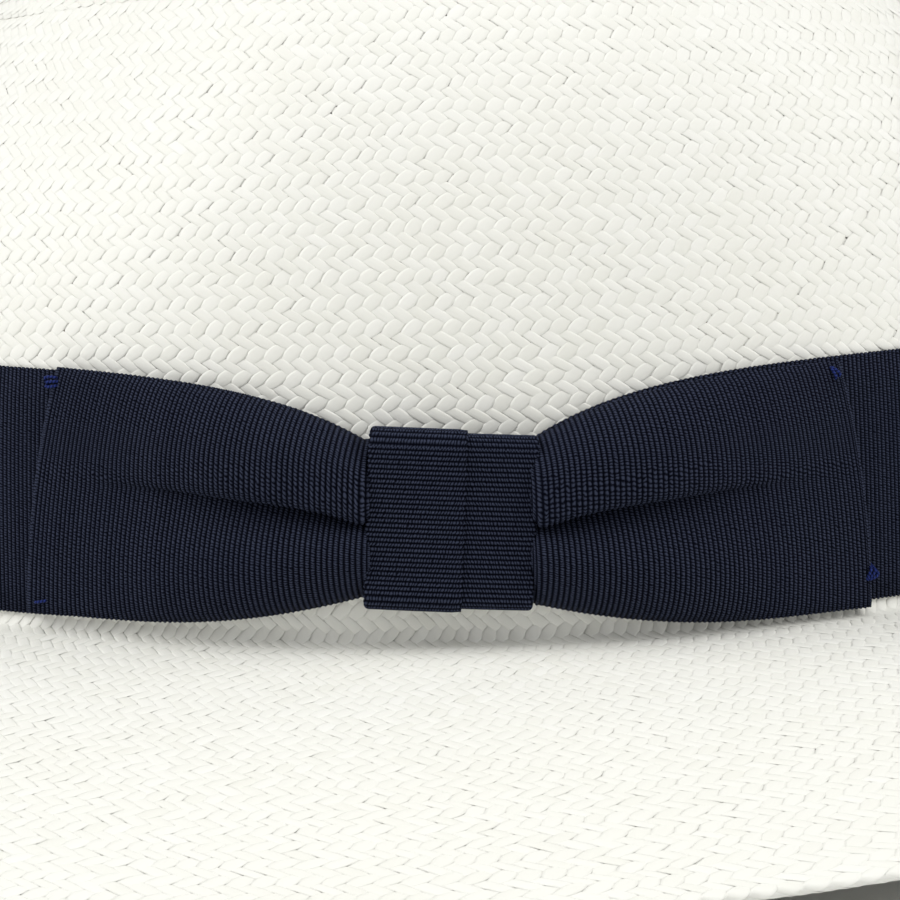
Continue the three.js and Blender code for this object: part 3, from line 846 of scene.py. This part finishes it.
def build_bow(material):
    """One ribbon in a flat ring: across the front, folded at each end and back behind."""
    levels = np.linspace(0, 1, 39)
    levels = levels + 0.6 * (np.sin(TURN * (levels - 0.08)) + np.sin(TURN * 0.08)) / TURN
    guide = int(np.argmin(np.abs(levels - 0.3)))
    front = np.arange(-1, 1, 1 / 300)
    share = levels[None, :]
    half_front = bow_half_length(np.sign(front)[:, None], share)
    y_front = front[:, None] * half_front
    flat_end = smooth((1 - np.abs(front[:, None])) / 0.05)
    d_front = 2 * BOW_FOLD_RADIUS + flat_end * (bow_front(y_front, share) - 2 * BOW_FOLD_RADIUS)
    parts = [(y_front, d_front, bow_height(y_front, share) - flat_end * bow_hang(y_front, share))]
    bend = ((np.arange(5) + 0.5) / 5 * np.pi)[:, None]
    for side in (1, -1):
        end = bow_half_length(side, share)
        y = side * (end + BOW_FOLD_RADIUS * np.sin(bend))
        d = BOW_FOLD_RADIUS * (1 + np.cos(bend)) + 0 * share
        if side < 0:
            y, d = y[::-1], d[::-1]
        parts.append((y, d, bow_height(y, share)))
        if side > 0:
            back = np.arange(1, -1, -1 / 150)[:, None]
            y_back = back * bow_half_length(np.sign(back), share)
            parts.append((y_back, 0 * y_back, bow_height(y_back, share)))
    y, depth, height = (np.concatenate([part[k] for part in parts]) for k in range(3))
    middle = on_side(y, height, BOW_SEAT + depth)
    mid = middle[:, guide]
    length = reach_along(np.concatenate([mid, mid[:1]]))
    total = length[-1]
    ribs = int(round(total / RIB_PITCH))
    even = np.arange(ribs * RIB_STEPS) / (ribs * RIB_STEPS) * total
    wrapped = np.concatenate([middle, middle[:1]])
    lines = wrapped.reshape(len(wrapped), -1).T
    resampled = np.stack([np.interp(even, length, line) for line in lines], -1).reshape(len(even), -1, 3)
    along = np.arange(len(even)) * RIB_PITCH / RIB_STEPS
    total_ribs = ribs * RIB_PITCH
    end_y = np.interp(even, length, np.append(y[:, guide], y[0, guide]))
    rear_fold = smooth((end_y - bow_half_length(1, levels[guide]) + 0.1) / 0.3)
    front_fold = smooth((-end_y - bow_half_length(-1, levels[guide]) + 0.1) / 0.3)
    rear_crest = RIB_PITCH * (round(np.average(along, weights=rear_fold) / RIB_PITCH) + FOLD_PHASE)
    front_crest = np.where(along > total_ribs / 2, total_ribs, 0) + FOLD_PHASE * RIB_PITCH
    along = along + rear_fold * (rear_crest - along) + front_fold * (front_crest - along)
    flat = 1 - 0.6 * (rear_fold + front_fold)
    gaps = np.linalg.norm(np.diff(resampled, axis=1), axis=-1)
    by_knot = np.exp(-(np.abs(end_y) - KNOT_HALF_WIDTH).clip(0) / 18.0) * (along < total_ribs * 2 / 3)
    across = running(np.average(gaps, axis=0, weights=by_knot + 0.02))
    across *= RIBBON_WIDTH / across[-1]
    piece = ribbed_strip("bow_loops", material, resampled, along, across, True, flat[:, None])
    install(piece, "bow_ribbon")


KNOT_BACK = 1.0
KNOT_DEPTH = 4.6
KNOT_ROUND = 1.6
KNOT_FRONT_EDGE = 1.6
KNOT_LEAN = 0.055
KNOT_LAYER = 0.5
KNOT_RIBS = 81


def knot_path(samples):
    """A rounded box in distance and height, as even steps round it."""
    corner = np.linspace(0, np.pi / 2, 9)
    points = []
    for quarter, (d, z) in enumerate([(KNOT_DEPTH, KNOT_HEIGHT), (0, KNOT_HEIGHT), (0, 0), (KNOT_DEPTH, 0)]):
        angle = corner + quarter * np.pi / 2
        inner_d = d - KNOT_ROUND * (1 if d else -1)
        inner_z = z - KNOT_ROUND * (1 if z else -1)
        points.append(np.stack([inner_d + KNOT_ROUND * np.cos(angle), inner_z + KNOT_ROUND * np.sin(angle)], -1))
    outline = np.concatenate(points)
    outline = np.concatenate([outline, outline[:1]])
    reach = reach_along(outline)
    even = np.linspace(0, reach[-1], samples, endpoint=False)
    place = np.stack([np.interp(even, reach, outline[:, axis]) for axis in range(2)], -1)
    ahead = np.roll(place, -1, 0) - np.roll(place, 1, 0)
    outward = unit(np.stack([ahead[:, 1], -ahead[:, 0]], -1))
    return place, outward, even, reach[-1]


def build_knot(material):
    """The knot: a ribbon folded lengthwise in three and wrapped round the bow and the band. Its section runs
    from the edge that shows on the front, round one fold, and back to the other fold."""
    place, outward, even, total = knot_path(KNOT_RIBS * RIB_STEPS)
    fold = np.linspace(np.pi / 2, 3 * np.pi / 2, 7)
    radius = KNOT_LAYER / 2
    left = -KNOT_HALF_WIDTH + radius
    right = KNOT_HALF_WIDTH - radius
    top_layer = [(y, KNOT_LAYER) for y in np.linspace(KNOT_FRONT_EDGE, left, 12)]
    left_fold = [(left + radius * np.cos(a), radius + radius * np.sin(a)) for a in fold[1:-1]]
    low_layer = [(y, 0.0) for y in np.linspace(left, right, 20)]
    right_fold = [(right + radius * np.cos(a), -radius + radius * np.sin(a)) for a in np.pi - fold[1:-1]]
    hidden = [(y, -KNOT_LAYER) for y in np.linspace(right, right - 8, 6)]
    section = np.array(top_layer + left_fold + low_layer + right_fold + hidden)
    across = reach_along(section)
    distance = KNOT_BACK + place[:, None, 0] + outward[:, None, 0] * section[None, :, 1]
    height = KNOT_FOOT + place[:, None, 1] + outward[:, None, 1] * section[None, :, 1]
    y = section[None, :, 0] + KNOT_LEAN * (height - KNOT_FOOT - KNOT_HEIGHT / 2)
    middle = on_side(y, height - KNOT_LEAN * section[None, :, 0], distance)
    along = even * RIB_PITCH * KNOT_RIBS / total
    piece = ribbed_strip("bow_knot_ribbon", material, middle, along, across, True)
    install(piece, "bow_knot")


# ---- Threads ----

def thread_tube(tubes, points, radius, sides, start=0.0):
    """A round thread along a line of points."""
    tangent = unit(np.gradient(points, axis=0))
    first = unit(np.cross(tangent, unit(points * np.array([1.0, 1.0, 0.0]) + 1e-6)))
    second = np.cross(tangent, first)
    angle = np.linspace(0, TURN, sides, endpoint=False)
    rings = points[:, None] + radius * (first[:, None] * np.cos(angle)[None, :, None]
                                        + second[:, None] * np.sin(angle)[None, :, None])
    tubes.add(rings, reach_along(points) + start, np.linspace(0, 1, sides + 1) + start)


TACK_LENGTH = 2.4
TACK_THREAD_RADIUS = 0.19
TACK_SPACING = 0.30
# Each tack's corner of the bow, y, height, tilt from level and number of loops
TACKS = [("front_upper", -53.5, 36.2, 0.1, 3), ("front_lower", -56.1, 6.0, 0.2, 1),
         ("rear_upper", 51.7, 35.4, -1.0, 2), ("rear_lower", 57.0, 7.8, 0.9, 3)]


def build_tack(material, node, y, height, tilt, loops):
    """A thread tack: a few short loops side by side over the edge of the bow's end."""
    tubes = Tubes()
    steps = np.linspace(0, 1, 17)
    seat = BOW_SEAT + 2 * BOW_FOLD_RADIUS + RIBBON_HALF_THICKNESS + 0.3
    beyond_bow = smooth(((steps if y > 0 else 1 - steps) - 0.55) / 0.45)
    for loop in range(loops):
        place = loop - (loops - 1) / 2
        spread = place * TACK_SPACING
        slant = tilt + 0.18 * place
        along = (steps - 0.5) * TACK_LENGTH
        y_line = y + along * np.cos(slant) - spread * np.sin(slant)
        z_line = height + along * np.sin(slant) + spread * np.cos(slant)
        rise = 0.62 * np.sin(np.pi * steps) ** 0.7 - 0.42 - 1.4 * beyond_bow
        bulge = 0.34 * place * np.sin(np.pi * steps)
        points = on_side(y_line - bulge * np.sin(slant), z_line + bulge * np.cos(slant), seat + rise)
        thread_tube(tubes, points, TACK_THREAD_RADIUS, 8, 1.7 * loop)
    install(tubes.build(f"{node}_thread", material), node)


# ---- The sweatband and what holds it ----

SWEATBAND_INSET = 1.7
SWEATBAND_THICKNESS = 1.1
SWEATBAND_FACE = SWEATBAND_INSET + SWEATBAND_THICKNESS
SWEATBAND_JOINT = 0.25
TAPE_FOOT = 2.6
TAPE_HEIGHT = 10.0
TAPE_INSET = 0.8
TAPE_THICKNESS = 0.5
REED_RADIUS = 0.9
REED_INSET = 2.4
REED_LEVEL = 2.6
STITCH_LEVEL = 7.0
STITCH_RADIUS = 0.24
STITCH_PITCH = 3.2
SEAM_STITCHES = 9
SEAM_BOW_LEVEL = 13.0
LINING_LENGTH = TURN * (HEAD_HALF_WIDTH + HEAD_HALF_LENGTH) / 2
LINING_STEPS = 360


def lining_sweep(name, material, section, joint):
    """Sweeps a closed section of (height, distance inwards) round the inside of the crown. A joint leaves it
    open at the back by that many millimetres each side."""
    section = np.asarray(section, float)
    half = joint / HEAD_HALF_WIDTH
    shares = np.linspace(0, 1, LINING_STEPS, endpoint=joint > 0)
    turns = BACK_OF_HAT + half + (TURN - 2 * half) * shares
    rings = wall_offset(turns[:, None], section[None, :, 0], -section[None, :, 1])
    tubes = Tubes()
    around = reach_along(np.concatenate([section, section[:1]]))
    tubes.add(rings, shares * LINING_LENGTH, around, closed=joint == 0)
    return tubes.build(name, material)


def strip_section(foot, top, inset, thickness, levels, swell):
    """A thin strip's section with rounded edges; swell thickens it near its top and foot."""
    share = np.linspace(0, 1, levels)
    height = foot + (top - foot) * share
    nearest = np.minimum(height - foot, top - height)
    half = thickness / 2 * np.minimum(1, 0.45 + 1.1 * nearest / thickness)
    half = half + swell * np.exp(-((nearest - 1.2) / 0.6) ** 2)
    middle = inset + thickness / 2
    return np.concatenate([np.stack([height, middle + half], -1), np.stack([height, middle - half], -1)[::-1]])


def build_lining():
    leather = leather_material()
    sewing = thread_material("sewing_thread", colour(0.55, 0.52, 0.44), colour(0.86, 0.84, 0.76), 0.5)
    top = SWEATBAND_FOOT + SWEATBAND_HEIGHT
    band_section = strip_section(SWEATBAND_FOOT, top, SWEATBAND_INSET, SWEATBAND_THICKNESS - 0.2, 40, 0.09)
    band = lining_sweep("sweatband_leather_strip", leather, band_section, SWEATBAND_JOINT)
    install(band, "sweatband")
    tape_section = strip_section(TAPE_FOOT, TAPE_FOOT + TAPE_HEIGHT, TAPE_INSET, TAPE_THICKNESS, 14, 0)
    tape = lining_sweep("sweatband_tape_strip", tape_material(), tape_section, 0)
    install(tape, "sweatband_tape")
    angle = np.linspace(0, TURN, 12, endpoint=False)
    circle = np.stack([REED_LEVEL + REED_RADIUS * np.sin(angle), REED_INSET + REED_RADIUS * np.cos(angle)], -1)
    reed = lining_sweep("sweatband_reed_rod", reed_material(), circle, SWEATBAND_JOINT)
    install(reed, "sweatband_reed")
    build_stitches(sewing)
    build_seam(sewing)


def build_stitches(material):
    """A line of lockstitch through the tape and the sweatband."""
    tubes = Tubes()
    face = SWEATBAND_FACE + 0.1
    count = int(round(LINING_LENGTH / STITCH_PITCH))
    steps = np.linspace(-0.5, 0.5, 9)
    for stitch in range(count):
        share = (stitch + 0.5 + 0.74 * steps) / count
        turns = BACK_OF_HAT + 0.008 + (TURN - 0.016) * share
        sink = 0.35 * (2 * steps) ** 6
        points = wall_offset(turns, STITCH_LEVEL + 0.10 * steps, -(face + 0.12 - sink))
        thread_tube(tubes, points, STITCH_RADIUS, 6, 0.9 * stitch)
    install(tubes.build("sweatband_stitches", material), "sweatband_stitching")


def build_seam(sewing):
    """The zigzag that closes the sweatband at the back, and the flat ribbon bow over it."""
    face = SWEATBAND_FACE + 0.15
    first = SEAM_BOW_LEVEL + 4.6
    last = SWEATBAND_FOOT + SWEATBAND_HEIGHT - 2
    corners = np.arange(2 * SEAM_STITCHES + 1)
    steps = np.linspace(0, corners[-1], 8 * corners[-1] + 1)
    sides = np.interp(steps, corners, np.where(corners % 2 == 0, 1.3, -1.3))
    levels = first + (last - first) * steps / corners[-1]
    points = wall_offset(BACK_OF_HAT + sides / HEAD_HALF_WIDTH, levels, -(face + 0.1))
    tubes = Tubes()
    thread_tube(tubes, points, STITCH_RADIUS, 6)
    install(tubes.build("sweatband_seam_zigzag", sewing), "sweatband_seam_thread")
    build_seam_bow(ribbon_material("sweatband_bow_ribbon"))


SEAM_BOW_HALF_WIDTH = 9.5
SEAM_BOW_HALF_HEIGHT = 5.0
SEAM_BOW_WAIST = 1.7
SEAM_BOW_RIBS = 26


def build_seam_bow(material):
    """A small bow: two loops that flare from a waist."""
    seat = SWEATBAND_FACE + 1.3
    out = np.linspace(-1, 1, SEAM_BOW_RIBS * RIB_STEPS + 1)
    levels = np.linspace(-1, 1, 13)
    flare = SEAM_BOW_WAIST + (SEAM_BOW_HALF_HEIGHT - SEAM_BOW_WAIST) * smooth(np.abs(out) * 1.15)
    height = SEAM_BOW_LEVEL + flare[:, None] * levels[None, :]
    side = SEAM_BOW_HALF_WIDTH * out[:, None] + 0 * height
    puff = 0.5 * np.sin(np.pi * np.abs(out)) ** 2
    pleat = 0.35 * np.exp(-4 * np.abs(out))[:, None] * np.cos(2.5 * np.pi * levels)[None, :]
    depth = seat + puff[:, None] * (1 - levels[None, :] ** 2) + pleat
    middle = wall_offset(BACK_OF_HAT + side / HEAD_HALF_WIDTH, height, -depth)
    along = np.arange(len(out)) * RIB_PITCH / RIB_STEPS
    across = (levels + 1) * SEAM_BOW_HALF_HEIGHT
    loops = ribbed_strip("sweatband_bow_loops", material, middle, along, across, False)
    install(loops, "sweatband_bow")


# ---- Room, light and camera ----

CAMERA_DISTANCE = 300.0
CAMERA_ELEVATION = np.radians(7.2)
CAMERA_AIM = (HEAD_HALF_WIDTH, 0.0, 27.6)
CAMERA_ROLL = np.radians(-1.1)
FRAME_HALF_WIDTH = 59.4
FLOOR_HALF_WIDTH = 4.0
LAMPS_AIM = (0.03, 0.0, 0.03)
WHITE = (1.0, 1.0, 1.0)
WARM_WHITE = (1.0, 0.995, 0.98)
WORLD_STRENGTH = 0.40


def aim(thing, place, target, roll=0.0):
    """Turns a camera or a lamp at place to look at target, both in metres."""
    forward = (Vector(target) - Vector(place)).normalized()
    turn = forward.to_track_quat("-Z", "Y").to_matrix().to_4x4()
    thing.matrix_world = Matrix.Translation(place) @ turn @ Matrix.Rotation(roll, 4, "Z")


def build_camera():
    data = bpy.data.cameras.new("camera")
    data.sensor_width = 36.0
    data.lens = 18.0 * CAMERA_DISTANCE / FRAME_HALF_WIDTH
    data.clip_start = 0.01
    camera = add_object("camera", data)
    offset = np.array([np.cos(CAMERA_ELEVATION), 0.0, np.sin(CAMERA_ELEVATION)]) * CAMERA_DISTANCE
    target = np.array(CAMERA_AIM)
    aim(camera, tuple((target + offset) * MM), tuple(target * MM), CAMERA_ROLL)
    bpy.context.scene.camera = camera


def lamp(name, place, size, power, tint):
    data = bpy.data.lights.new(name, "AREA")
    data.size = size
    data.energy = power
    data.color = tint
    aim(add_object(name, data), place, LAMPS_AIM)


def build_room():
    mesh = bpy.data.meshes.new("floor")
    corners = [(x * FLOOR_HALF_WIDTH, y * FLOOR_HALF_WIDTH, cad_box[0][2])
               for x, y in ((-1, -1), (1, -1), (1, 1), (-1, 1))]
    mesh.from_pydata(corners, [], [(0, 1, 2, 3)])
    mesh.materials.append(floor_material())
    add_object("floor", mesh)
    world = bpy.data.worlds.new("studio")
    world.use_nodes = True
    background = world.node_tree.nodes["Background"]
    background.inputs["Color"].default_value = colour(*WHITE)
    background.inputs["Strength"].default_value = WORLD_STRENGTH
    bpy.context.scene.world = world
    lamp("key_left", (0.28, -0.85, 0.62), 0.60, 4.9, WARM_WHITE)
    lamp("key_right", (0.28, 0.90, 0.60), 0.60, 4.4, WARM_WHITE)
    lamp("top", (0.32, 0.0, 1.05), 0.90, 4.0, WHITE)
    bpy.context.scene.view_settings.view_transform = "Standard"


# ---- Everything together ----

def build_hat():
    ribbon = ribbon_material("ribbon")
    tack = thread_material("tack_thread", colour(0.004, 0.008, 0.045), colour(0.022, 0.040, 0.210), 0.45)
    build_straw(straw_material())
    build_band(ribbon)
    build_bow(ribbon)
    build_knot(ribbon)
    for corner, y, height, tilt, loops in TACKS:
        build_tack(tack, f"bow_tack_{corner}", y, height, tilt, loops)
    build_lining()


build_camera()
build_room()
build_hat()
